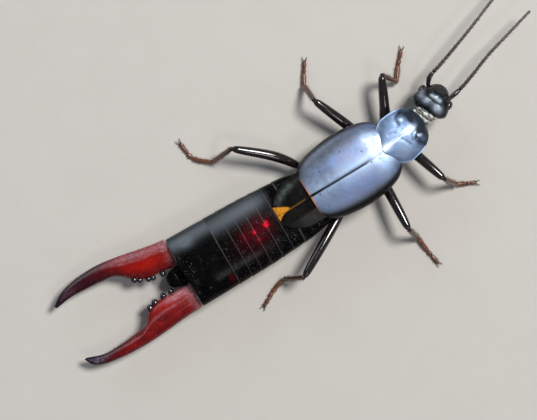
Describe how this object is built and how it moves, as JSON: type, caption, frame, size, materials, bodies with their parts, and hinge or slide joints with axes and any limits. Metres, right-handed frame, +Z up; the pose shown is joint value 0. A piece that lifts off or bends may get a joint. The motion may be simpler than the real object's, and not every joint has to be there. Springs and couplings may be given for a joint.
{
  "type": "earwig",
  "caption": "Life-size still model of a male earwig standing on its feet, with deep red toothed pincers, short blue-grey wing covers and long feelers.",
  "frame": {"origin": "middle of the box round the whole animal, on the floor it stands on", "axes": "+Z up, -Y towards the head and feelers, +Y towards the pincers, +X to the animal's left"},
  "size_m": [0.02, 0.044, 0.0041],
  "materials": {
    "shell": "glossy black hard shell",
    "wing_cover": "satin blue-violet sheen over black",
    "shield": "satin blue-grey sheen over black",
    "wing_tip": "glossy black with an orange mark",
    "belly": "glossy black with a dark red glow",
    "neck": "pale soft membrane",
    "eye": "finely faceted gloss",
    "leg": "glossy black-brown shell",
    "foot": "glossy reddish brown shell",
    "pincer": "glossy deep red, black at the teeth and tips",
    "feeler": "satin dark brown"
  },
  "bodies": {
    "root": {"head": "shell", "mandibles": "shell", "eye_l": "eye", "eye_r": "eye", "antenna_l": "feeler", "antenna_r": "feeler", "palp_l": "feeler", "palp_r": "feeler", "neck": "neck", "pronotum": "shield", "prothorax": "leg", "mesothorax": "leg", "metathorax": "leg", "wing_cover_l": "wing_cover", "wing_cover_r": "wing_cover", "wing_tip_l": "wing_tip", "wing_tip_r": "wing_tip", "abdomen_front": "belly", "abdomen_mid": "belly", "abdomen_rear": "belly", "last_tergite": "belly", "pygidium": "belly", "pincer_l": "pincer", "pincer_r": "pincer", "femur_front_l": "leg", "femur_front_r": "leg", "femur_mid_l": "leg", "femur_mid_r": "leg", "femur_hind_l": "leg", "femur_hind_r": "leg", "tibia_front_l": "leg", "tibia_front_r": "leg", "tibia_mid_l": "leg", "tibia_mid_r": "leg", "tibia_hind_l": "leg", "tibia_hind_r": "leg", "tarsus_front_l": "foot", "tarsus_front_r": "foot", "tarsus_mid_l": "foot", "tarsus_mid_r": "foot", "tarsus_hind_l": "foot", "tarsus_hind_r": "foot"}
  },
  "joints": []
}
